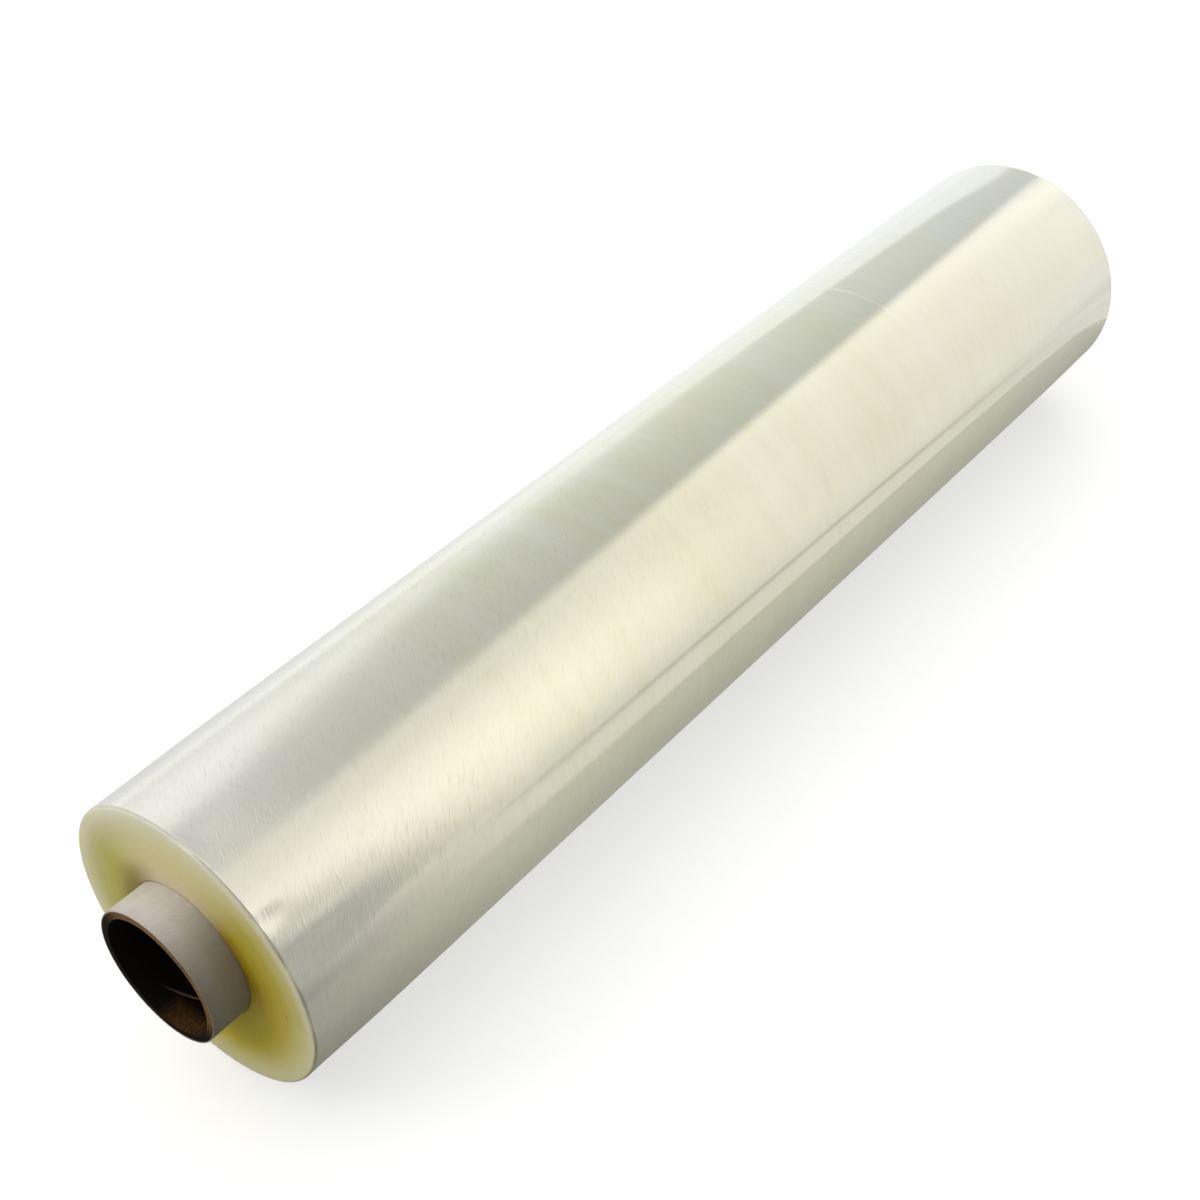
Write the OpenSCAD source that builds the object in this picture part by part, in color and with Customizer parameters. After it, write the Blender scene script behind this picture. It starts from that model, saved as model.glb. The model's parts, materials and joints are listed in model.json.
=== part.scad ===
// Roll of lidding film wound on a paper core.
// The roll lies on its side, as it is kept on a bench: X runs along the core,
// Z is up, and the origin is on the surface below the middle of the roll.

/* [Film] */
// Outer diameter of the wound film
film_od = 93; // [60:1:160]
// Width of the film, which is the length of the wound part
film_w = 440; // [200:5:800]
// Thickness of one turn, seen as the step at the tail
film_t = 0.05; // [0.02:0.01:0.2]
// Radius of the soft rim at each end of the wound film
rim_r = 1.2; // [0.4:0.1:2.5]
// Distance between the rings that the turns leave on the end faces
ring_pitch = 3; // [1.5:0.5:6]
// Depth of the shallow valleys between those rings
ring_depth = 0.15; // [0.05:0.05:0.4]
// Width of the flat spot that the roll's own weight presses into the film
flat_w = 10; // [9:0.5:14]
// Angle of the tail's edge, from straight down towards the back
tail_angle = 50; // [20:5:80]

/* [Core] */
// Bore of the core, which takes a 38 mm spindle
core_bore = 38; // [25:1:52]
// Wall of the brown paper tube
tube_wall = 2.4; // [1.2:0.1:4]
// Thickness of the white paper glued round the tube
ply_t = 0.35; // [0.2:0.05:0.6]
// Length of core that sticks out at each end of the film
core_stub = 12.5; // [2:0.5:30]
// Air left between the core and the first turn of film
wind_gap = 0.05; // [0.02:0.01:0.2]

/* [Hidden] */
$fn = 96;

film_r = film_od / 2;
tube_r = core_bore / 2 + tube_wall;
core_r = tube_r + ply_t;
core_len = film_w + 2 * core_stub;
// Height at which the axis lies once the flat spot is pressed in
axis_z = sqrt(pow(film_r, 2) - pow(flat_w / 2, 2));
// Radius of the first turn
first_r = core_r + wind_gap;
// Radial room for the rings, between the first turn and the rim
ring_room = film_r - rim_r - first_r;
ring_steps = 2 * floor(ring_room / ring_pitch);
// How far a cutting solid runs past what it cuts
overrun = 1;

// Places the children with their own Z along the core
module along_core() {
  translate([0, 0, axis_z])
    rotate([0, 90, 0])
      children();
}

// Plain tube centred on the core's axis
module tube(inner_r, outer_r, length) {
  difference() {
    cylinder(r = outer_r, h = length, center = true);
    cylinder(r = inner_r, h = length + 2 * overrun, center = true);
  }
}

// Ring crests and valleys of one end face, from the core out to the rim
function ring_points(shift) = [
  for (step = [0 : ring_steps])
    [first_r - shift + step * ring_pitch / 2, step % 2 * ring_depth]
];

function at_far_end(points) = [
  for (index = [len(points) - 1 : -1 : 0])
    [points[index].x, film_w - points[index].y]
];

// Half section of the wound film: radius across, length up
module wound_section(shift) {
  outer = film_r - shift;
  rings = ring_points(shift);
  under = [first_r - shift - overrun, 0];
  rim_start = [outer - rim_r, 0];
  face = concat([under], rings, [rim_start]);
  polygon(concat(face, at_far_end(face)));
  translate([first_r, rim_r])
    square([outer - first_r, film_w - 2 * rim_r]);
  for (height = [rim_r, film_w - rim_r])
    translate([outer - rim_r, height])
      circle(r = rim_r);
}

// Half of the wound film, drawn about a centre that lies off the axis by shift
module wound_half(shift) {
  translate([-shift, 0, -film_w / 2])
    rotate_extrude(angle = 180)
      wound_section(shift);
}

// All the turns as one solid. The two halves meet flush on one side, and on the
// other the outer turn stands one thickness proud, where its tail ends.
module film_roll() {
  color([0.91, 0.90, 0.82])
    difference() {
      along_core()
        difference() {
          union() {
            rotate(tail_angle - 180)
              wound_half(0);
            rotate(tail_angle)
              wound_half(film_t / 2);
          }
          cylinder(r = first_r, h = film_w + 2 * overrun, center = true);
        }
      translate([-film_w / 2 - overrun, -film_r, -film_r])
        cube([film_w + 2 * overrun, film_od, film_r]);
    }
}

// Brown paper tube that the spindle goes through
module core_tube() {
  color([0.45, 0.33, 0.20])
    along_core()
      tube(core_bore / 2, tube_r, core_len);
}

// White paper glued round the whole tube
module core_outer_ply() {
  color([0.82, 0.79, 0.74])
    along_core()
      tube(tube_r, core_r, core_len);
}

film_roll();
core_tube();
core_outer_ply();
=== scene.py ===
"""Roll of lidding film on a paper core: the finish of every surface, the light and the camera."""
import json
import math

import bpy
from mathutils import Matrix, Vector, noise


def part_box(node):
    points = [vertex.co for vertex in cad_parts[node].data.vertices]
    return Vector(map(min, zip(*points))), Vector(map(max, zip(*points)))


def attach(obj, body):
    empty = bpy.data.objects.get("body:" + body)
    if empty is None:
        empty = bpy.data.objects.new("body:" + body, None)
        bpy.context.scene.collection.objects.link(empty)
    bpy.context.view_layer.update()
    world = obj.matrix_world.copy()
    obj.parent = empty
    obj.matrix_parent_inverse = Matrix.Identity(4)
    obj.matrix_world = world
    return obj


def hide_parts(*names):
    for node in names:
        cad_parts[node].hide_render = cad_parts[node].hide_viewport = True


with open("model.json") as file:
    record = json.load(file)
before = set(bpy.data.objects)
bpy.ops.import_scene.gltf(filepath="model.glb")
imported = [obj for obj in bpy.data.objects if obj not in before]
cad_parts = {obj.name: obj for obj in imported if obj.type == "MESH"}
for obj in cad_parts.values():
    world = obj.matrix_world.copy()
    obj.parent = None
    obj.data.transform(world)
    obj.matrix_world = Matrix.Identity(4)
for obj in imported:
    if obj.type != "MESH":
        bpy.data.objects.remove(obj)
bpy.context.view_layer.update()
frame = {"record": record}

MM = 0.001
# Settings of a node that runs from one value to another along an even curve
EASED = {"interpolation_type": "SMOOTHSTEP"}

# Sizes and places taken from the frame
film_low, film_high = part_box("film_roll")
tube_low, tube_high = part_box("core_tube")
core_bore = next(m for m in frame["record"]["mounts"] if m["name"] == "core_bore")
AXIS_Z = (tube_low.z + tube_high.z) / 2
FILM_R = -film_low.y
FILM_HALF = film_high.x
CORE_HALF = tube_high.x
TUBE_R = tube_high.y
CORE_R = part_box("core_outer_ply")[1].y
BORE_R = core_bore["dims"]["r_mm"] * MM

# A level camera that looks down on the near end, as in the photograph
CAMERA_AZIMUTH = math.radians(-51.2)
CAMERA_ELEVATION = math.radians(41.54)
CAMERA_DISTANCE = 0.5818
CAMERA_AIM = Vector((-0.043, 0.003, AXIS_Z))
LENS_MM = 53.7
SENSOR_MM = 36

# Wound film
FIRST_TURN_R = CORE_R + 0.05 * MM
RIM_R = 0.8 * MM
RIM_STEPS = 7
FACE_STEPS = 44
SIDE_STEPS = 230
ROUND_STEPS = 260
# The side's stations crowd towards both ends, where the film is least even
CROWDING = 0.35
# The tail ends the last turn at this angle, from straight down towards the back
TAIL_ANGLE = math.radians(50)
# The real step is one turn of film; it is three times as high here so that it shows
TAIL_STEP = 0.15 * MM
# Angle over which the step rises
TAIL_EDGE = math.radians(0.12)
# The tail's edge lifts a little, in places, over this share of a turn
TAIL_LIFT = 0.22 * MM
LIFT_SHARE = 0.03
LIFT_LENGTH = 60 * MM

# Unevenness of the wound film: how long and wide its waves are, and how high each is in millimetres
BAND_LENGTH = 26 * MM
BAND_HEIGHT = 0.025
WAVE_LENGTH = 150 * MM
WAVE_WIDTH = 38 * MM
WAVE_HEIGHT = 0.075
LUMP_LENGTH = 26 * MM
LUMP_WIDTH = 17 * MM
LUMP_HEIGHT = 0.11
# The outer turns are pulled in towards both ends, and lie below the true cylinder everywhere
END_FALL = 0.45
END_FALL_REACH = 55 * MM
SIDE_FALL = 0.12
# Close to an end the turns are slack and lumpy, and further in they are tight
SLACK_REACH = 3 * MM
TIGHT_REACH = 60 * MM
# How far the turns' edges lie back from the end face in millimetres: in all, turn by turn and broadly
EDGE_DEPTH = 0.11
FINE_RING = 0.05
BROAD_RING = 0.06
FINE_RING_WIDTH = 0.8 * MM
BROAD_RING_WIDTH = 3 * MM
# They fade out from this share of the way to the rim
RINGS_FADE = 0.7
# Dents in the slack turns by the near rim: mm from the rim, degrees from the top towards the front,
# mm half long, degrees half round, mm deep
DENTS = [
    (4, 9, 8, 5, 0.3),
    (3, 43, 6, 3.5, 0.35),
    (8, 54, 16, 3, -0.25),
    (10, 61, 22, 5, 0.45),
    (6, 72, 15, 4, -0.2),
    (5, 84, 12, 6, 0.3),
]
DENTS_END_MM = 60

# Fine marks on the film
CREASE_HEIGHT = 0.02 * MM
WRINKLE_SLANT = math.radians(-14)
CREASE_SLANT = math.radians(-34)
TOP_SLANT = math.radians(17)
SCRATCH_SLANT = math.radians(-24)
RING_WIDTH = 0.9 * MM
# A pale crease goes a little way round the top, this far right of the middle
HOOP_CREASE_X = 100 * MM

# Paper core: its plies are strips wound in spirals, which move on by one pitch each turn
CORE_ROUND_STEPS = 160
CORE_LONG_STEPS = 60
BOARD_PLY = 0.35 * MM
# How far the cut ends lie back, and how uneven they are, in millimetres
BOARD_CUT = 0.07
PAPER_CUT = 0.05
BORE_PITCH = -48 * MM
WHITE_PITCH = 118 * MM
SPIRAL_SLANT = math.radians(41)
# Turn of the spiral on which the joint between the strips lies
BORE_JOINT = 5.145
WHITE_JOINT = -2.471
# The cut end is free of painted shade on its upper front, and light falls on the bore's lower front: ways
# from the axis
END_LIT_WAY = (0, -0.5, 0.87)
LIT_WAY = (0, -0.34, -0.94)


def linear(hex_colour):
    """An sRGB hex colour as a linear colour with alpha 1."""
    channels = [int(hex_colour[i:i + 2], 16) / 255 for i in (1, 3, 5)]
    return [c / 12.92 if c <= 0.04045 else ((c + 0.055) / 1.055) ** 2.4 for c in channels] + [1]


def smooth(low, high, value):
    """0 at low, 1 at high, and an even curve between them."""
    t = min(max((value - low) / (high - low), 0), 1)
    return t * t * (3 - 2 * t)


def add(tree, kind, inputs=None, stops=None, **settings):
    """A shader node with its settings made, its ramp's stops placed and its inputs set or linked.
    Inputs are a list in the node's order, or a dictionary by name or number. A node given as an
    input is linked by the first output it has in use."""
    node = tree.nodes.new("ShaderNode" + kind)
    for name, value in settings.items():
        setattr(node, name, value)
    pairs = enumerate(inputs) if isinstance(inputs, list) else (inputs or {}).items()
    for name, value in pairs:
        if isinstance(value, bpy.types.Node):
            value = next(output for output in value.outputs if output.enabled)
        if isinstance(value, bpy.types.NodeSocket):
            tree.links.new(value, node.inputs[name])
        else:
            node.inputs[name].default_value = value
    for index, (place, colour) in enumerate(stops or []):
        ramp = node.color_ramp.elements
        stop = ramp[index] if index < len(ramp) else ramp.new(place)
        stop.position = place
        stop.color = linear(colour)
    return node


def new_material(name):
    """An empty node material and its tree."""
    material = bpy.data.materials.new(name)
    material.use_nodes = True
    material.node_tree.nodes.clear()
    return material, material.node_tree


def new_piece(name, points, faces):
    """A mesh object in the scene."""
    mesh = bpy.data.meshes.new(name)
    mesh.from_pydata(points, [], faces)
    piece = bpy.data.objects.new(name, mesh)
    bpy.context.scene.collection.objects.link(piece)
    return piece


# Meshes

def swept_piece(name, stations, angles, place):
    """Closed mesh: the stations are a closed outline, and place puts a station at an angle in the frame."""
    points = [place(station, angle) for angle in angles for station in stations]
    count = len(stations)
    faces = []
    for turn in range(len(angles)):
        here = turn * count
        after = (turn + 1) % len(angles) * count
        for step in range(count):
            ahead = (step + 1) % count
            faces.append((here + step, here + ahead, after + ahead, after + step))
    piece = new_piece(name, points, faces)
    piece.data.shade_smooth()
    piece.data.update()
    return piece


def on_axis(x, radius, angle):
    """A point at that radius; the angle runs from straight up towards the front."""
    return (x, -radius * math.sin(angle), AXIS_Z + radius * math.cos(angle))


def steps(start, end, count):
    """Even values from start to end."""
    return [start + (end - start) * i / count for i in range(count + 1)]


def film_stations():
    """Half section of the wound film as (x, radius, part), once round from the core on the left."""
    rim_start = FILM_R - RIM_R
    quarter = [math.pi / 2 * i / RIM_STEPS for i in range(1, RIM_STEPS)]
    face = [(-FILM_HALF, r, "edges") for r in steps(FIRST_TURN_R, rim_start, FACE_STEPS)]
    rim = [
        (-FILM_HALF + RIM_R * (1 - math.cos(a)), rim_start + RIM_R * math.sin(a), "rim")
        for a in quarter
    ]
    left = face + rim
    reach = FILM_HALF - RIM_R
    side = [
        (reach * ((1 + CROWDING) * t - CROWDING * t ** 3), FILM_R, "side")
        for t in steps(-1, 1, SIDE_STEPS)
    ]
    right = [(-x, r, part) for x, r, part in reversed(left)]
    return left + side + right


def film_bulge(x, radius, angle):
    """How far the wound film stands from a true cylinder, in metres."""
    across = radius * math.sin(angle)
    up = radius * math.cos(angle)
    to_end = FILM_HALF - abs(x)
    bands = noise.noise(Vector((x / BAND_LENGTH, 3.1, 0.7)))
    long_waves = noise.noise(Vector((x / WAVE_LENGTH, across / WAVE_WIDTH, up / WAVE_WIDTH)))
    lumps = noise.noise(Vector((x / LUMP_LENGTH, across / LUMP_WIDTH, up / LUMP_WIDTH + 9)))
    end_fall = 1 - smooth(0, END_FALL_REACH, to_end)
    loose = 1 - smooth(SLACK_REACH, TIGHT_REACH, to_end)
    uneven = BAND_HEIGHT * bands + WAVE_HEIGHT * long_waves + LUMP_HEIGHT * lumps * loose
    return (uneven - END_FALL * end_fall ** 2 - SIDE_FALL) * MM - dent_depth(x, angle)


def dent_depth(x, angle):
    """How deep the dents by the near rim are there, in metres."""
    from_rim = (x + FILM_HALF) / MM
    from_top = math.degrees((angle + math.pi) % math.tau - math.pi)
    if from_rim > DENTS_END_MM:
        return 0
    depth = 0
    for place, clock, long, round_way, deep in DENTS:
        away = ((from_rim - place) / long) ** 2 + ((from_top - clock) / round_way) ** 2
        depth += deep * math.exp(-away)
    return depth * MM


def tail_travel(angle):
    """Share of the last turn left behind at that angle: 0 at the tail's edge, nearly 1 just past it."""
    tail = math.pi + TAIL_ANGLE
    return (tail - angle) % math.tau / math.tau


def uneven_ring(grain, angle, change, shift=0):
    """Noise that runs through its grains with the radius, and changes by so many on the way round."""
    return noise.noise(Vector((grain, shift + change * math.sin(angle), change * math.cos(angle))))


def ring_relief(radius, angle):
    """How far the edge of a turn lies back from the end face, in metres."""
    fine = uneven_ring(radius / FINE_RING_WIDTH, angle, 0.4)
    broad = uneven_ring(radius / BROAD_RING_WIDTH, angle, 0.3, shift=5)
    return (EDGE_DEPTH + FINE_RING * fine + BROAD_RING * broad) * MM


def place_film(station, angle):
    """A point of the wound film, with its unevenness, its tail and its flat spot."""
    x, radius, part = station
    outwards = smooth(FIRST_TURN_R, FILM_R, radius)
    travel = tail_travel(angle)
    lift = TAIL_LIFT * max(noise.noise(Vector((x / LIFT_LENGTH, 2, 2))), 0)
    radius += outwards * (film_bulge(x, radius, angle) - TAIL_STEP * travel)
    radius += outwards ** 6 * lift * (1 - smooth(0, LIFT_SHARE, travel))
    if part != "side":
        inwards = ring_relief(radius, angle) * (1 - smooth(RINGS_FADE, 1, outwards))
        x -= math.copysign(inwards, x)
    x, y, z = on_axis(x, radius, angle)
    return (x, y, max(z, 0))


def wound_film():
    """All the turns of film as one closed body."""
    tail = math.pi + TAIL_ANGLE
    angles = [tail - math.tau * i / ROUND_STEPS for i in range(ROUND_STEPS)]
    angles.append(tail - math.tau + TAIL_EDGE)
    stations = film_stations()
    piece = swept_piece("wound_film", stations, angles, place_film)
    piece.data.materials.append(film_side_material())
    piece.data.materials.append(film_edges_material())
    parts = [part for _, _, part in stations]
    for face in piece.data.polygons:
        kinds = {parts[v % len(stations)] for v in face.vertices}
        face.material_index = 0 if kinds == {"side"} else 1
    return piece


def tube_stations(inner_r, outer_r, ring_count):
    """Closed outline of a tube: out across the left end, along the outside, in and back."""
    left_end = [(-CORE_HALF, r, "end") for r in steps(inner_r, outer_r, ring_count)]
    outside = [(x, outer_r, "wall") for x in steps(-CORE_HALF, CORE_HALF, CORE_LONG_STEPS)[1:-1]]
    right_end = [(CORE_HALF, r, "end") for r in steps(outer_r, inner_r, ring_count)]
    inside = [(x, inner_r, "wall") for x in steps(CORE_HALF, -CORE_HALF, CORE_LONG_STEPS)[1:-1]]
    return left_end + outside + right_end + inside


def place_tube(station, angle):
    """A point of the brown tube, with the plies of its cut ends a little uneven."""
    x, radius, part = station
    if part == "end":
        cut = uneven_ring(radius / BOARD_PLY, angle, 1.6)
        x -= math.copysign((BOARD_CUT + BOARD_CUT * cut) * MM, x)
    return on_axis(x, radius, angle)


def place_ply(station, angle):
    """A point of the white outer ply, with its cut edge a little uneven."""
    x, radius, part = station
    if part == "end":
        cut = noise.noise(Vector((4 * math.sin(angle), 4 * math.cos(angle), 7)))
        x -= math.copysign((PAPER_CUT + PAPER_CUT * cut) * MM, x)
    return on_axis(x, radius, angle)


def core_layer(name, inner_r, outer_r, ring_count, place, material):
    """One layer of the core, swept backwards round the axis so that its faces look outwards."""
    angles = [-math.tau * i / CORE_ROUND_STEPS for i in range(CORE_ROUND_STEPS)]
    piece = swept_piece(name, tube_stations(inner_r, outer_r, ring_count), angles, place)
    piece.data.materials.append(material)
    return piece


# Materials

def winding_place(tree):
    """Place on the winding in metres: X along the roll, Y round it from the top, Z out from the axis."""
    point = add(tree, "SeparateXYZ", [add(tree, "TexCoord").outputs["Object"]])
    height = add(tree, "Math", [point.outputs["Z"], AXIS_Z], operation="SUBTRACT")
    angle = add(tree, "Math", [point.outputs["Y"], height], operation="ARCTAN2")
    round_way = add(tree, "Math", [angle, FILM_R], operation="MULTIPLY")
    across = add(tree, "CombineXYZ", {"Y": point.outputs["Y"], "Z": height})
    radius = add(tree, "VectorMath", [across], operation="LENGTH")
    return add(tree, "CombineXYZ", [point.outputs["X"], round_way, radius])


def stretched_noise(tree, place, along, round_way, slant=0.0, detail=2.0):
    """Noise whose grains are so long along the roll and so long round it, in metres."""
    mapping = add(
        tree, "Mapping", {"Vector": place, "Rotation": (0, 0, slant), "Scale": (along, round_way, 1)},
        vector_type="TEXTURE",
    )
    return add(tree, "TexNoise", {"Vector": mapping, "Scale": 1, "Detail": detail})


def rings(tree, radius, width, axis, detail):
    """Noise that changes only with the radius, in rings so wide in metres, as edges of turns or plies."""
    place = add(tree, "CombineXYZ", {axis: radius})
    return add(tree, "TexNoise", {"Vector": place, "Scale": 1 / width, "Detail": detail})


def away_from(tree, value, middle):
    """Distance of a value from the middle one."""
    offset = add(tree, "Math", [value, middle], operation="SUBTRACT")
    return add(tree, "Math", [offset], operation="ABSOLUTE")


def heights(tree, parts):
    """Sum of reliefs, each times its height."""
    total = 0.0
    for relief, height in parts:
        total = add(tree, "Math", [relief, height, total], operation="MULTIPLY_ADD")
    return total


def tinted(tree, colour, mark, share, tint):
    """The colour with a mark on it, whose tint covers it up to a share."""
    strength = add(tree, "Math", [mark, share], operation="MULTIPLY")
    return add(tree, "Mix", {0: strength, 6: colour, 7: tint}, data_type="RGBA")


def film_side_material():
    """Clear polyester and polyethylene film, wound tight in hundreds of turns.
    The stack of clear sheets mirrors light like silver under a hard gloss, with a cream cast from its
    depth. The end that is handled most is scuffed with short slanting creases, so its gloss is softer.
    The creases and scratches are drawn twice as wide as real ones, or they wouldn't show."""
    material, tree = new_material("clear laminate film, wound")
    place = winding_place(tree)
    spot = add(tree, "SeparateXYZ", [place])
    along = spot.outputs["X"]
    round_way = spot.outputs["Y"]
    handled = add(tree, "MapRange", [along, -FILM_HALF, 0.1 * FILM_HALF, 1, 0], **EASED)
    crumpled = add(tree, "MapRange", [along, -FILM_HALF, -0.5 * FILM_HALF, 1, 0], **EASED)
    scuffed = add(tree, "MapRange", [along, -0.6 * FILM_HALF, 0.2 * FILM_HALF, 1, 0], **EASED)

    # Marks, each 0 to 1
    bands = stretched_noise(tree, place, 5 * MM, 80 * MM, detail=4)
    front_lines = stretched_noise(tree, place, 0.8 * MM, 22 * MM, slant=WRINKLE_SLANT)
    top_lines = stretched_noise(tree, place, 0.8 * MM, 22 * MM, slant=TOP_SLANT)
    on_top = add(tree, "MapRange", [round_way, -24 * MM, -8 * MM], **EASED)
    hair_lines = add(tree, "Mix", {0: on_top, 6: front_lines, 7: top_lines}, data_type="RGBA")
    short_grain = stretched_noise(tree, place, 0.55 * MM, 6 * MM, slant=CREASE_SLANT, detail=1)
    creases = add(tree, "MapRange", [short_grain, 0.52, 0.76], **EASED)
    cross_grain = stretched_noise(tree, place, 0.7 * MM, 8 * MM, slant=WRINKLE_SLANT, detail=1)
    cross_creases = add(tree, "MapRange", [cross_grain, 0.53, 0.78], **EASED)
    dash_grain = stretched_noise(tree, place, 0.5 * MM, 4.5 * MM, slant=1.15 * CREASE_SLANT, detail=0)
    dashes = add(tree, "MapRange", [dash_grain, 0.72, 0.9], **EASED)
    dull_dashes = add(tree, "Math", [dashes, scuffed], operation="MULTIPLY")
    scratch_grain = stretched_noise(tree, place, 0.45 * MM, 16 * MM, slant=SCRATCH_SLANT, detail=0)
    fine_scratches = add(tree, "MapRange", [scratch_grain, 0.72, 0.95], **EASED)
    scratches = add(tree, "Math", [fine_scratches, scuffed], operation="MULTIPLY")
    from_crease = away_from(tree, along, HOOP_CREASE_X)
    crease_line = add(tree, "MapRange", [from_crease, 0.15 * MM, 0.6 * MM, 1, 0], **EASED)
    from_top = away_from(tree, round_way, 2 * MM)
    crease_reach = add(tree, "MapRange", [from_top, 10 * MM, 20 * MM, 1, 0], **EASED)
    hoop_crease = add(tree, "Math", [crease_line, crease_reach], operation="MULTIPLY")

    # Cream depth, greyer towards both ends and cooler at the far one, with the marks over it
    clouds = stretched_noise(tree, place, 30 * MM, 90 * MM, detail=4)
    cream = heights(tree, [(clouds, 0.6), (bands, 0.4)])
    colour = add(tree, "ValToRGB", {"Fac": cream}, stops=[(0.35, "#ECECD6"), (0.65, "#F2F2E5")])
    near_ends = add(
        tree,
        "MapRange",
        [away_from(tree, along, 0.0), FILM_HALF - 130 * MM, FILM_HALF - 10 * MM, 0, 0.75],
        **EASED,
    )
    colour = add(tree, "Mix", {0: near_ends, 6: colour, 7: linear("#EFEDE6")}, data_type="RGBA")
    far_end = add(tree, "MapRange", [along, 0.1 * FILM_HALF, FILM_HALF, 0, 0.6], **EASED)
    colour = add(tree, "Mix", {0: far_end, 6: colour, 7: linear("#F1F2EE")}, data_type="RGBA")
    crease_share = add(tree, "MapRange", [along, -0.5 * FILM_HALF, 0.3 * FILM_HALF, 0.3, 0.05], **EASED)
    colour = tinted(tree, colour, creases, crease_share, linear("#D3CDB6"))
    line_share = add(tree, "MapRange", [hair_lines, 0.5, 0.75, 0, 0.2], **EASED)
    colour = add(tree, "Mix", {0: line_share, 6: colour, 7: linear("#DAD5C0")}, data_type="RGBA")
    colour = tinted(tree, colour, dull_dashes, 0.25, linear("#CFC2A0"))
    colour = tinted(tree, colour, scratches, 0.2, linear("#FDFCF6"))
    colour = tinted(tree, colour, hoop_crease, 0.7, linear("#FDFCF6"))

    handled_rough = add(tree, "MapRange", [handled, 0, 1, 0.06, 0.16], **EASED)
    handled_creases = add(tree, "Math", [creases, handled], operation="MULTIPLY")
    rough = heights(tree, [(bands, 0.05), (handled_creases, 0.08), (handled_rough, 1)])
    both_creases = add(tree, "Math", [creases, cross_creases], operation="ADD")
    wear = add(tree, "MapRange", [handled, 0, 1, 0.08, 1], **EASED)
    relief = heights(tree, [
        (bands, 0.25),
        (hair_lines, 0.06),
        (add(tree, "Math", [hair_lines, crumpled], operation="MULTIPLY"), 0.5),
        (add(tree, "Math", [both_creases, wear], operation="MULTIPLY"), 0.5),
        (hoop_crease, 2.0),
    ])
    bump = add(tree, "Bump", {"Height": relief, "Strength": 1, "Distance": CREASE_HEIGHT})
    shader = add(tree, "BsdfPrincipled", {
        "Base Color": colour,
        "Metallic": 0.5,
        "Roughness": rough,
        "IOR": 1.5,
        "Normal": bump,
        "Coat Weight": 1,
        "Coat Roughness": 0.06,
        "Coat IOR": 1.4,
        "Coat Normal": bump,
    })
    add(tree, "OutputMaterial", {"Surface": shader})
    return material


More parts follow.
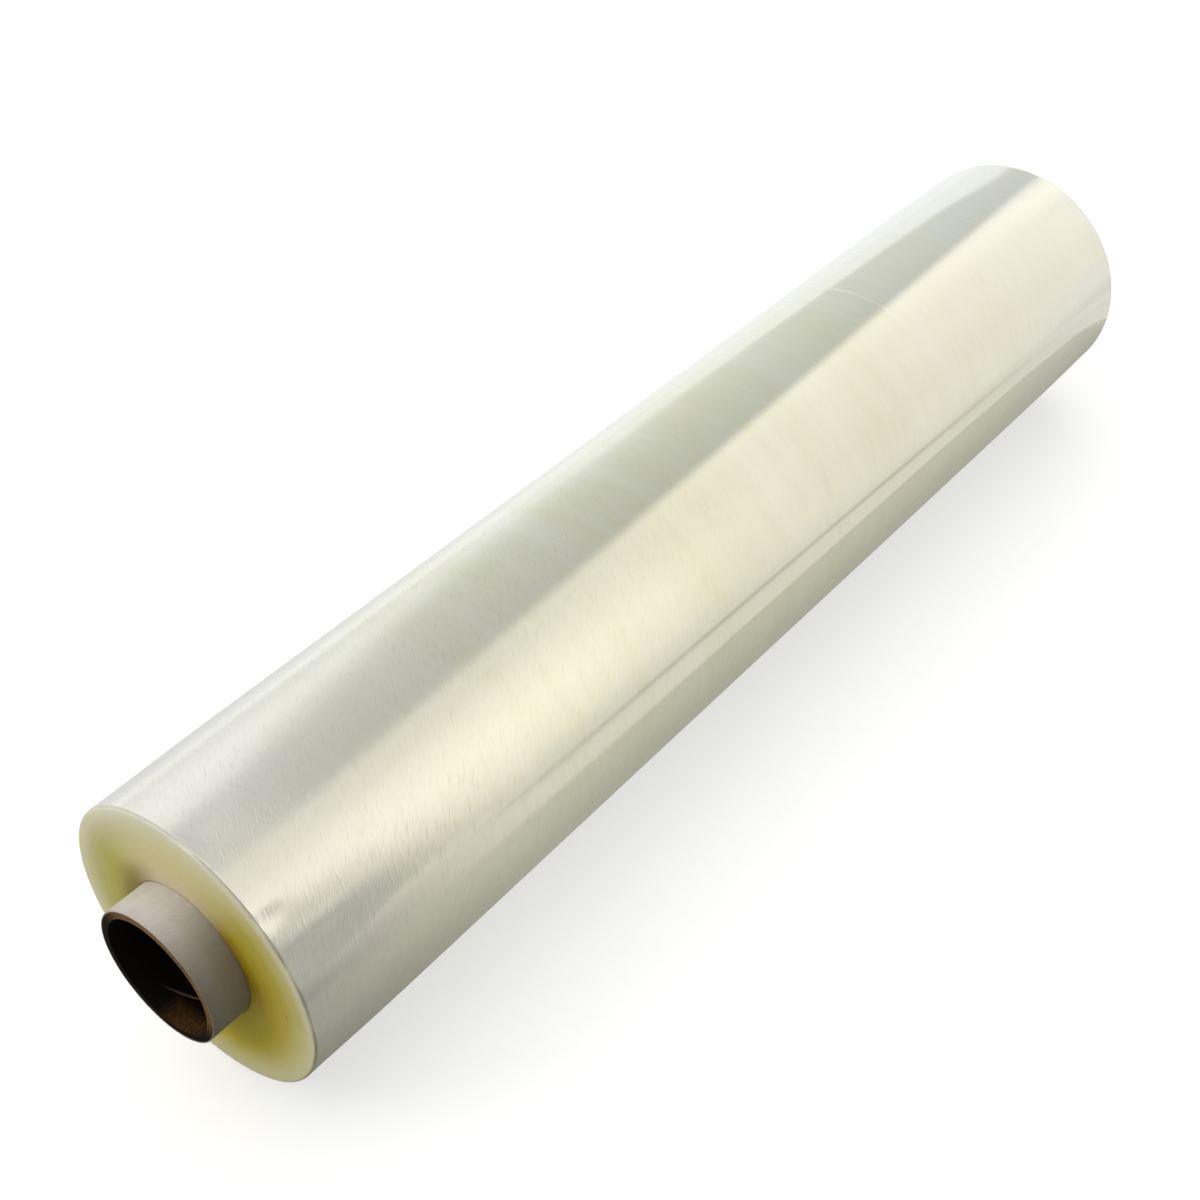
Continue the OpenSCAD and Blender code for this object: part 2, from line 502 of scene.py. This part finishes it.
def film_edges_material():
    """The cut edges of all the turns: light sinks into the clear film between them, so the face
    glows yellow, deepest by the core and pale at the rim, with faint rings. The rounded rim itself
    is grey. The part of the face towards the light from above and behind is painted lighter, as painted
    light."""
    material, tree = new_material("film edges, slit")
    spot = add(tree, "SeparateXYZ", [winding_place(tree)])
    radius = spot.outputs["Z"]
    point = add(tree, "TexCoord").outputs["Object"]
    backwards = add(tree, "SeparateXYZ", [point]).outputs["Y"]
    # 0 at the core and 1 at the rim
    depth = add(tree, "MapRange", [radius, FIRST_TURN_R, FILM_R])

    # Rings, and the side that the light comes from, towards which the face is painted lighter as painted
    # light
    fine_rings = rings(tree, radius, RING_WIDTH, "X", 3)
    broad_rings = rings(tree, radius, 4 * RING_WIDTH, "Y", 1)
    towards_back = add(tree, "MapRange", [backwards, 0, FILM_R], **EASED)
    ring_shift = heights(tree, [
        (fine_rings, 0.12), (broad_rings, 0.16), (towards_back, 0.12), (depth, 1), (1.0, -0.14),
    ])
    from_light = add(tree, "Math", [spot.outputs["Y"], 1 / FILM_R, -0.16], operation="MULTIPLY_ADD")
    towards_light = add(tree, "Math", [from_light], operation="COSINE")
    painted_light_share = add(tree, "MapRange", [towards_light, 0.55, 1.0], **EASED)
    deep = add(tree, "ValToRGB", {"Fac": ring_shift}, stops=[
        (0.0, "#A07C0A"), (0.14, "#AE9418"), (0.3, "#C4B038"),
        (0.55, "#CFBE4E"), (0.78, "#DED388"), (0.94, "#F0EAC6"),
    ])
    painted_lit_rings = add(tree, "ValToRGB", {"Fac": ring_shift}, stops=[
        (0.0, "#EAD9B4"), (0.2, "#EBDCAE"), (0.45, "#EFE3A8"),
        (0.7, "#F6EDBC"), (0.88, "#F8F3D2"), (1.0, "#FAF8E6"),
    ])
    # Painted light: lighter and darker copies of the ring colours, mixed by the way to the light
    colour = add(tree, "Mix", {0: painted_light_share, 6: deep, 7: painted_lit_rings}, data_type="RGBA")

    # Greener at the back, painted shade behind the core, painted light low down, one dark speck and the
    # grey rim
    green_share = add(tree, "MapRange", [depth, 0.5, 0.95, 0.55, 0], **EASED)
    colour = tinted(tree, colour, towards_back, green_share, linear("#C6C97C"))
    close_in = add(tree, "MapRange", [depth, 0.02, 0.4, 1, 0], **EASED)
    behind = add(tree, "MapRange", [backwards, 0.12 * FILM_R, 0.5 * FILM_R], **EASED)
    painted_core_shade = add(tree, "Math", [close_in, behind], operation="MULTIPLY")
    # Painted shade close to the core, towards the back
    colour = tinted(tree, colour, painted_core_shade, 0.9, linear("#8E7E3A"))
    # Painted light from below: the face is lighter and yellower low down
    painted_low_light = add(tree, "MapRange", [towards_light, 0.1, -0.7], **EASED)
    outwards = add(tree, "MapRange", [depth, 0.4, 0.95], **EASED)
    painted_low_tone = add(
        tree, "Mix", {0: outwards, 6: linear("#EBD550"), 7: linear("#FAF4C0")}, data_type="RGBA",
    )
    colour = tinted(tree, colour, painted_low_light, 0.85, painted_low_tone)
    speck_place = (-FILM_HALF, -0.768 * FILM_R, AXIS_Z)
    from_speck = add(tree, "VectorMath", [point, speck_place], operation="DISTANCE")
    speck = add(tree, "MapRange", [from_speck, 0.25 * MM, 0.55 * MM, 1, 0], **EASED)
    colour = tinted(tree, colour, speck, 0.8, linear("#4A3C10"))
    rounded = add(tree, "MapRange", [depth, 0.945, 0.975, 0, 0.9], **EASED)
    colour = add(tree, "Mix", {0: rounded, 6: colour, 7: linear("#B2AFA3")}, data_type="RGBA")

    inside_rim = add(tree, "MapRange", [depth, 0.7, 0.95, 1, 0], **EASED)
    relief = add(tree, "Math", [fine_rings, inside_rim], operation="MULTIPLY")
    shader = add(tree, "BsdfPrincipled", {
        "Base Color": colour,
        "Roughness": 0.5,
        "IOR": 1.5,
        "Specular IOR Level": 0.15,
        "Normal": add(tree, "Bump", {"Height": relief, "Strength": 0.5, "Distance": 0.1 * MM}),
        "Subsurface Weight": 0.4,
        "Subsurface Radius": (5 * MM, 4.4 * MM, 2.6 * MM),
        "Subsurface Scale": 1,
    })
    add(tree, "OutputMaterial", {"Surface": shader})
    return material


def spiral_joint(tree, spot, pitch, joint_turn):
    """Distance in metres along the core from the joint where one strip of a ply meets the next."""
    turns_along = add(tree, "Math", [spot.outputs["X"], 1 / pitch], operation="MULTIPLY")
    turns = heights(tree, [(spot.outputs["Y"], 1 / (math.tau * FILM_R)), (turns_along, 1)])
    shifted = add(tree, "Math", [turns, joint_turn - 0.5], operation="SUBTRACT")
    share = add(tree, "Math", [shifted], operation="FRACT")
    offset = add(tree, "Math", [share, 0.5], operation="SUBTRACT")
    return add(tree, "Math", [offset, pitch], operation="MULTIPLY")


def white_paper_material():
    """Machine-made white paper wound round the core: matt, faintly grey, with its fibres along the spiral.
    Its front side is painted darker, as painted shade."""
    material, tree = new_material("white core paper")
    place = winding_place(tree)
    fibres = stretched_noise(tree, place, 0.5 * MM, 4 * MM, slant=SPIRAL_SLANT, detail=4)
    clouds = stretched_noise(tree, place, 6 * MM, 9 * MM, slant=SPIRAL_SLANT, detail=3)
    both = heights(tree, [(fibres, 0.65), (clouds, 0.35)])
    joint = spiral_joint(tree, add(tree, "SeparateXYZ", [place]), WHITE_PITCH, WHITE_JOINT)
    gap = add(tree, "MapRange", [away_from(tree, joint, 0.0), 0.25 * MM, 0.6 * MM, 1, 0], **EASED)
    colour = add(tree, "ValToRGB", {"Fac": both}, stops=[(0.3, "#BEB8AE"), (0.7, "#D2CCC4")])
    colour = tinted(tree, colour, gap, 0.7, linear("#8E8474"))
    backwards = add(tree, "SeparateXYZ", [add(tree, "TexCoord").outputs["Object"]]).outputs["Y"]
    # Painted shade: darker towards the front
    painted_front_shade = add(tree, "MapRange", [backwards, 0.1 * CORE_R, -0.95 * CORE_R, 0, 0.75], **EASED)
    colour = add(tree, "Mix", {0: painted_front_shade, 6: colour, 7: linear("#7C7660")}, data_type="RGBA")
    relief = heights(tree, [(fibres, 1), (gap, -4)])
    shader = add(tree, "BsdfPrincipled", {
        "Base Color": colour,
        "Roughness": 0.8,
        "Specular IOR Level": 0.1,
        "Normal": add(tree, "Bump", {"Height": relief, "Strength": 0.5, "Distance": 0.04 * MM}),
    })
    add(tree, "OutputMaterial", {"Surface": shader})
    return material


def core_board_material():
    """Brown core board, spirally wound from recycled paper: matt and fibrous.
    Its cut end shows the plies as thin rings, with painted shade low down. Its bore is painted nearly black
    as shade, apart from the patch inside the mouth that the light falls on."""
    material, tree = new_material("brown core board")
    place = winding_place(tree)
    spot = add(tree, "SeparateXYZ", [place])
    radius = spot.outputs["Z"]
    point = add(tree, "TexCoord").outputs["Object"]
    fibres = stretched_noise(tree, place, 1.2 * MM, 3 * MM, slant=SPIRAL_SLANT, detail=6)
    plies = rings(tree, radius, BOARD_PLY, "X", 1)
    joint = spiral_joint(tree, spot, BORE_PITCH, BORE_JOINT)
    lap_edge_highlight = add(tree, "MapRange", [away_from(tree, joint, 0.0), 0.15 * MM, 0.5 * MM, 1, 0], **EASED)
    before_lap = add(tree, "MapRange", [joint, -5 * MM, -1 * MM], **EASED)
    after_lap = add(tree, "MapRange", [joint, 0, 0.3 * MM, 1, 0], **EASED)
    lap_shade = add(tree, "Math", [before_lap, after_lap], operation="MULTIPLY")

    # Cut end, with painted shade away from its upper front
    end_lit_way = tuple(part / TUBE_R for part in END_LIT_WAY)
    towards_end_lit = add(tree, "VectorMath", [point, end_lit_way], operation="DOT_PRODUCT")
    on_axis_end_lit = END_LIT_WAY[2] * AXIS_Z / TUBE_R
    # Painted shade: darker away from the upper front
    painted_end_shade = add(
        tree, "MapRange", [towards_end_lit, on_axis_end_lit - 0.1, on_axis_end_lit + 0.6, 0.97, 0], **EASED,
    )
    grain = heights(tree, [(fibres, 0.3), (plies, 0.7)])
    wall = add(tree, "ValToRGB", {"Fac": grain}, stops=[
        (0.38, "#4A351D"), (0.5, "#85633C"), (0.62, "#B08D62"),
    ])
    wall = add(tree, "Mix", {0: painted_end_shade, 6: wall, 7: linear("#0A0704")}, data_type="RGBA")

    # Bore, with painted shade deep in and wherever the light from above and behind doesn't reach
    from_middle = away_from(tree, spot.outputs["X"], 0.0)
    deep_shade = add(tree, "MapRange", [from_middle, CORE_HALF - 9 * MM, CORE_HALF - 3 * MM, 1, 0], **EASED)
    lit_way = tuple(part / BORE_R for part in LIT_WAY)
    towards_lit = add(tree, "VectorMath", [point, lit_way], operation="DOT_PRODUCT")
    on_axis_lit = LIT_WAY[2] * AXIS_Z / BORE_R
    unlit = add(tree, "MapRange", [towards_lit, on_axis_lit + 0.8, on_axis_lit + 0.99, 1, 0], **EASED)
    lap_dark = add(tree, "Math", [lap_shade, 0.8], operation="MULTIPLY")
    darker = add(tree, "Math", [deep_shade, lap_dark], operation="MAXIMUM")
    darker = add(tree, "Math", [darker, unlit], operation="MAXIMUM")
    bore = add(tree, "ValToRGB", {"Fac": fibres}, stops=[(0.3, "#221304"), (0.7, "#4E330C")])
    # Painted shade over the bore's brown
    bore = tinted(tree, bore, darker, 0.97, linear("#040201"))
    # Painted highlight: the lap edge is lighter where the light falls in
    lap_highlight_share = add(
        tree, "MapRange", [towards_lit, on_axis_lit + 0.62, on_axis_lit + 0.95, 0, 0.55], **EASED,
    )
    bore = tinted(tree, bore, lap_edge_highlight, lap_highlight_share, linear("#7A6A5C"))

    in_bore = add(tree, "MapRange", [radius, BORE_R + 0.05 * MM, BORE_R + 0.25 * MM, 1, 0], **EASED)
    colour = add(tree, "Mix", {0: in_bore, 6: wall, 7: bore}, data_type="RGBA")
    relief = heights(tree, [(fibres, 1), (lap_shade, -2)])
    shader = add(tree, "BsdfPrincipled", {
        "Base Color": colour,
        "Roughness": 0.85,
        "Specular IOR Level": 0.08,
        "Normal": add(tree, "Bump", {"Height": relief, "Strength": 0.6, "Distance": 0.1 * MM}),
    })
    add(tree, "OutputMaterial", {"Surface": shader})
    return material


# Studio

def seen_directly(tree):
    """1 for rays that show the background: from the camera, or by way of a gloss or through clear film."""
    path = add(tree, "LightPath").outputs
    seen = add(tree, "Math", [path["Is Camera Ray"], path["Is Glossy Ray"]], operation="MAXIMUM")
    return add(tree, "Math", [seen, path["Is Transmission Ray"]], operation="MAXIMUM")


def floor():
    """Wide pale floor, white to the camera and in reflections, that keeps the roll's shadow.
    It glows a little more far out, so that it meets the white background."""
    half = 6
    corners = at_height(0, [(-half, -half), (half, -half), (half, half), (-half, half)])
    piece = new_piece("studio_floor", corners, [(0, 1, 2, 3)])
    material, tree = new_material("pale studio floor")
    away = add(tree, "VectorMath", [add(tree, "TexCoord").outputs["Object"]], operation="LENGTH")
    strength = add(tree, "MapRange", [away, 0.8, 3.5, 0.6, 0.85], **EASED)
    glow = add(tree, "Emission", {"Color": linear("#FFFFFF"), "Strength": strength})
    paint = add(tree, "BsdfDiffuse", {"Color": linear("#C4C4C2")})
    bounce = add(tree, "BsdfDiffuse", {"Color": linear("#94938A")})
    both = add(tree, "AddShader", [paint, glow])
    mixed = add(tree, "MixShader", [seen_directly(tree), bounce, both])
    add(tree, "OutputMaterial", {"Surface": mixed})
    piece.data.materials.append(material)


def studio_air():
    """Soft light from all round, fuller from above and behind, and white where it is seen."""
    world = bpy.data.worlds.new("studio_air")
    world.use_nodes = True
    tree = world.node_tree
    tree.nodes.clear()
    towards = add(tree, "TexCoord").outputs["Generated"]
    facing = add(tree, "VectorMath", [towards, (0.1, 0.65, 0.75)], operation="DOT_PRODUCT")
    light = add(tree, "MapRange", [facing, -0.9, 1, 0.1, 0.7])
    strength = add(tree, "MapRange", [seen_directly(tree), 0, 1, light, 1.0])
    background = add(tree, "Background", {"Color": linear("#FFFFFF"), "Strength": strength})
    add(tree, "OutputWorld", {"Surface": background})
    bpy.context.scene.world = world


def gloss_only(piece, material):
    """Makes a card or wall show only as a tone in the roll's gloss."""
    piece.data.materials.append(material)
    piece.visible_camera = False
    piece.visible_diffuse = False
    piece.visible_shadow = False
    piece.visible_transmission = False


def at_height(z, places):
    """Corners of a level card."""
    return [(x, y, z) for x, y in places]


def reflection_card(name, corners, colour, strength, softness=None, cover=1.0, fade=None, thins=None):
    """Flat card for the roll's gloss. With softness, it fades in from the edge after each corner, over that
    many metres. With fade, its tone runs along x from a lower share at one place up to 1 at another.
    With thins, it covers less along y, from 1 at one place down to a share at another."""
    piece = new_piece(name, corners, [tuple(range(len(corners)))])
    material, tree = new_material(name.replace("_", " "))
    place = add(tree, "TexCoord").outputs["Object"]
    point = add(tree, "SeparateXYZ", [place])
    tone = strength
    if fade:
        low_x, high_x, share = fade
        tone = add(
            tree, "MapRange", [point.outputs["X"], low_x, high_x, share * strength, strength], **EASED,
        )
    if thins:
        full_y, thin_y, share = thins
        cover = add(
            tree, "MapRange", [point.outputs["Y"], full_y, thin_y, cover, share * cover], **EASED,
        )
    points = [Vector(corner) for corner in corners]
    facing = (points[1] - points[0]).cross(points[2] - points[1])
    for start, end, width in zip(points, points[1:] + points[:1], softness or []):
        inward = facing.cross(end - start).normalized()
        depth = add(tree, "VectorMath", [place, inward], operation="DOT_PRODUCT")
        edge = start.dot(inward)
        inside = add(tree, "MapRange", [depth, edge, edge + width], **EASED)
        cover = add(tree, "Math", [inside, cover], operation="MULTIPLY")
    glow = add(tree, "Emission", {"Color": linear(colour), "Strength": tone})
    if softness or thins:
        glow = add(tree, "MixShader", [cover, add(tree, "BsdfTransparent"), glow])
    add(tree, "OutputMaterial", {"Surface": glow})
    gloss_only(piece, material)


def arched_wall(name, reach, start, end, colour, strength, soft_start=0.1, glows=()):
    """Wall that arches over the roll for its gloss, from one angle to the other, up being 0 and front 90.
    It fades in over the soft start. Each glow is its middle angle, half width, middle x, half length and
    strength."""
    points = []
    faces = []
    for step, angle in enumerate(steps(math.radians(start), math.radians(end), 40)):
        for x in (-2, 3 * reach):
            points.append(on_axis(x, reach, angle))
        if step:
            faces.append((2 * step - 2, 2 * step - 1, 2 * step + 1, 2 * step))
    piece = new_piece(name, points, faces)
    material, tree = new_material(name.replace("_", " "))
    point = add(tree, "SeparateXYZ", [add(tree, "TexCoord").outputs["Object"]])
    forward = add(tree, "Math", [point.outputs["Y"], -1.0], operation="MULTIPLY")
    angle = add(tree, "Math", [forward, point.outputs["Z"]], operation="ARCTAN2")
    tone = strength
    for middle_angle, half_width, middle_x, half_length, extra in glows:
        from_angle = away_from(tree, angle, math.radians(middle_angle))
        by_angle = add(tree, "MapRange", [from_angle, 0, math.radians(half_width), 1, 0], **EASED)
        from_x = away_from(tree, point.outputs["X"], middle_x)
        by_length = add(tree, "MapRange", [from_x, 0, half_length, extra, 0], **EASED)
        tone = add(tree, "Math", [by_angle, by_length, tone], operation="MULTIPLY_ADD")
    glow = add(tree, "Emission", {"Color": linear(colour), "Strength": tone})
    cover = add(tree, "MapRange", [angle, math.radians(start), math.radians(start + soft_start)], **EASED)
    seen = add(tree, "MixShader", [cover, add(tree, "BsdfTransparent"), glow])
    add(tree, "OutputMaterial", {"Surface": seen})
    gloss_only(piece, material)


def softbox(name, place, aim, width, height, watts, colour):
    """Rectangular soft lamp that faces a point and doesn't show in the gloss."""
    lamp = bpy.data.lights.new(name, "AREA")
    lamp.shape = "RECTANGLE"
    lamp.size = width
    lamp.size_y = height
    lamp.energy = watts
    lamp.color = linear(colour)[:3]
    holder = bpy.data.objects.new(name, lamp)
    holder.location = place
    holder.rotation_euler = (Vector(aim) - Vector(place)).to_track_quat("-Z", "Y").to_euler()
    holder.visible_glossy = False
    bpy.context.scene.collection.objects.link(holder)


def camera():
    """The photograph's camera."""
    data = bpy.data.cameras.new("camera")
    data.lens = LENS_MM
    data.sensor_width = SENSOR_MM
    data.sensor_fit = "HORIZONTAL"
    holder = bpy.data.objects.new("camera", data)
    level = math.cos(CAMERA_ELEVATION)
    forward = Vector((
        -math.sin(CAMERA_AZIMUTH) * level,
        math.cos(CAMERA_AZIMUTH) * level,
        -math.sin(CAMERA_ELEVATION),
    ))
    holder.location = CAMERA_AIM - CAMERA_DISTANCE * forward
    holder.rotation_euler = forward.to_track_quat("-Z", "Y").to_euler()
    bpy.context.scene.collection.objects.link(holder)
    bpy.context.scene.camera = holder


camera()
studio_air()
floor()

# What the gloss mirrors: a warm front wall, a cooler back wall and grey panels high over the roll
arched_wall(
    "cream_front_wall", reach=2.6, start=-30, end=90, colour="#FFF9EA", strength=1.04, soft_start=20,
    glows=[
        (60, 48, 1.2, 1.6, 0.58),
        (-4, 24, 4.6, 3.0, 0.25),
        (45, 80, 5.2, 3.8, 0.28),
        (90, 26, 3.0, 6.0, 0.1),
    ],
)
arched_wall(
    "pale_back_wall", reach=6.0, start=-90.5, end=-8, colour="#F0F3F3", strength=0.95,
    glows=[(-90, 30, 2.6, 2.8, -0.28)],
)
reflection_card(
    "grey_ceiling_panel",
    at_height(1.0, [(0.04, -0.32), (2.14, 0.48), (6.06, 7.0), (3.97, 7.0), (-0.08, 0.52)]),
    colour="#B2B8B0", strength=0.95,
    softness=(0.16, 0.3, 1.0, 0.4, 0.2), fade=(0.3, 1.8, 0.56), thins=(1.0, 5.4, 0.35),
)
reflection_card(
    "ceiling_panel_fringe",
    at_height(0.99, [(0, -0.7), (0.55, -0.7), (0.85, 0.1), (0, 0.1)]),
    colour="#B2B8B0", strength=0.65, softness=(0.4, 0.25, 0.1, 0.1), cover=0.24,
)
reflection_card(
    "near_panel_shade",
    at_height(0.98, [(-0.12, 0.1), (0.42, 0.2), (0.5, 0.85), (0.0, 0.75)]),
    colour="#B4B8BE", strength=0.6, softness=(0.15, 0.15, 0.15, 0.12), cover=0.5,
)

# Walls past both ends of the roll, which show when it is seen from an end
for end_x in (-5, 11):
    reflection_card(
        "pale_end_wall",
        [(end_x, -2.5, 0), (end_x, 6, 0), (end_x, 6, 5), (end_x, -2.5, 5)],
        colour="#EFEEE6", strength=0.82,
    )

# Dark stand in front on the left, which shows low on the near end
stand_y = -0.9
reflection_card(
    "dark_front_stand",
    [(-0.8, stand_y, -0.01), (0.36, stand_y, -0.01), (0.25, stand_y, 0.95), (-0.8, stand_y, 0.95)],
    colour="#ACADA4", strength=0.95, softness=(0.005, 0.2, 0.3, 0.1),
)

# Table round the roll as its gloss sees it, each card a little over the last: pale further out,
# in shade at the left, with a dark seam, and grey close by where the roll's shadow lies
reflection_card(
    "pale_back_table",
    at_height(0.3 * MM, [(-2, 0.02), (12, 0.02), (12, 6), (-2, 6)]),
    colour="#F0F3F3", strength=1.02, fade=(-0.2, 0.2, 0.7),
)
reflection_card(
    "back_table_shade",
    at_height(0.35 * MM, [(0, 0.9), (1.6, 0.9), (2.2, 4), (0.3, 4)]),
    colour="#B2B8B0", strength=0.8, softness=(0.4, 0.4, 0.4, 0.4), cover=0.3,
)
# Shade on the table at the left, as a dim card
reflection_card(
    "shaded_near_table",
    at_height(0.3 * MM, [(-1, -0.9), (0.1, -0.9), (0.1, -0.05), (-1, -0.05)]),
    colour="#FBF8EC", strength=0.28,
)
reflection_card(
    "front_table",
    at_height(0.35 * MM, [(-0.234, -0.05), (0.615, -2.6), (6, -2.6), (6, -0.05)]),
    colour="#FBF8EC", strength=1.2, softness=(0.14, 0.01, 0.01, 0.01), fade=(0.15, 0.4, 0.91),
)
reflection_card(
    "wide_table_shade",
    at_height(0.4 * MM, [(-0.03, -0.357), (0.2, -0.204), (0.2, -0.144), (-0.03, -0.217)]),
    colour="#F6F4E8", strength=0.55, softness=(0.06, 0.1, 0.05, 0.03), cover=0.9,
)
reflection_card(
    "dark_table_seam",
    at_height(0.45 * MM, [(0.05, -0.29), (0.34, -0.148), (0.34, -0.09), (0.05, -0.232)]),
    colour="#F6F4E8", strength=0.62, softness=(0.036, 0.15, 0.012, 0.05), cover=0.85,
)
reflection_card(
    "far_table_shade",
    at_height(0.45 * MM, [(0.14, -0.24), (0.7, -0.24), (0.7, -0.05), (0.14, -0.05)]),
    colour="#F6F4E8", strength=0.5, softness=(0.1, 0.1, 0.001, 0.15), cover=0.22,
)
# The roll's shadow on the table, as a grey card
reflection_card(
    "roll_shadow_strip",
    at_height(0.5 * MM, [
        (-0.6, -0.13), (-0.13, -0.125), (-0.02, -0.115), (0.17, -0.108), (0.24, -0.098),
        (0.271, -0.086), (0.279, -0.07), (0.285, 0.02), (-0.6, 0.02),
    ]),
    colour="#DEDDCD", strength=1.0, fade=(-0.22, -0.1, 0.52),
)
reflection_card(
    "shade_under_roll",
    at_height(0.55 * MM, [(-0.6, -0.1), (0.285, -0.1), (0.285, 0.02), (-0.6, 0.02)]),
    colour="#5E5E50", strength=1.0, softness=(0.09, 0.02, 0.001, 0.01), cover=0.62,
)

# Soft lamps: name, place, how far right of the middle they aim, width, height, watts and colour
for name, place, aim_x, width, height, watts, colour in [
    ("back_window", (0.3, 1.3, 0.42), 0, 2.0, 0.7, 6, "#FFFFFF"),
    ("left_window", (-1.25, 0.85, 1.0), -0.2, 0.9, 0.9, 7, "#FFFDF6"),
    ("right_window", (1.3, 0.5, 0.9), 0.2, 0.8, 0.8, 4, "#FFFDF6"),
    ("overhead", (0.0, 0.3, 1.5), 0, 1.4, 1.4, 7, "#FFFFFF"),
]:
    softbox(name, place, (aim_x, 0, 0.05), width, height, watts, colour)

film = wound_film()
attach(film, "root")
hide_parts("film_roll")

tube = core_layer(
    "core_board_tube", BORE_R, TUBE_R, ring_count=8, place=place_tube, material=core_board_material(),
)
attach(tube, "root")
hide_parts("core_tube")

ply = core_layer(
    "core_white_ply", TUBE_R, CORE_R, ring_count=1, place=place_ply, material=white_paper_material(),
)
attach(ply, "root")
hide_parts("core_outer_ply")

bpy.context.scene.view_settings.view_transform = "Standard"
